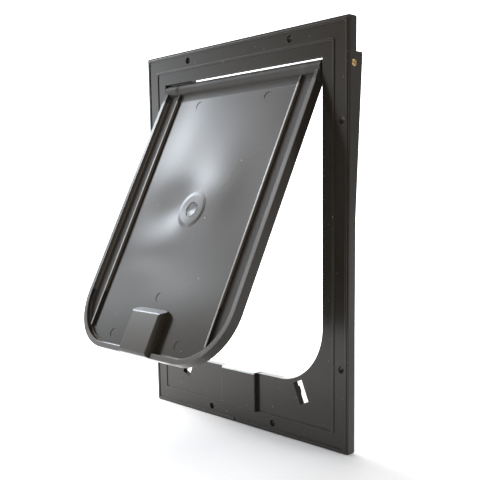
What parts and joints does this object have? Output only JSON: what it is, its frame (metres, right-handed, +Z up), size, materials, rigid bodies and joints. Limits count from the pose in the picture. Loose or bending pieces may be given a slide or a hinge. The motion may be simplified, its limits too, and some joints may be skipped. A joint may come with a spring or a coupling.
{
  "type": "pet door",
  "caption": "Flanged plastic pet door frame with a rimmed, top-hung flap that swings both ways on brass pins and closes by a magnet on a steel strike plate.",
  "frame": {"origin": "centre of the four side screw holes, on the flange's back face where it bears on the door", "axes": "+X to the right across the door seen from the front, +Y into the door, +Z up"},
  "size_m": [0.2816, 0.1468, 0.375],
  "materials": {
    "dark_plastic": "satin moulded dark brown-black",
    "holder_plastic": "satin moulded dark brown-black",
    "pin_brass": "turned",
    "strike_steel": "zinc plated",
    "screw_steel": "zinc plated",
    "magnet": "sintered ferrite"
  },
  "bodies": {
    "frame_body": {"frame": "dark_plastic", "strike_plate": "strike_steel", "strike_screws": "screw_steel", "hinge_pin_right": "pin_brass", "hinge_pin_left": "pin_brass"},
    "flap_body": {"flap": "dark_plastic", "magnet_holder": "holder_plastic", "flap_magnet": "magnet", "holder_screws": "screw_steel"}
  },
  "joints": [
    {"name": "flap_swing", "type": "hinge", "parent": "frame_body", "child": "flap_body", "pos_m": [0, -0.003, 0.1533], "axis": [-1, 0, 0], "range_deg": [-112.25, 57.75]}
  ]
}
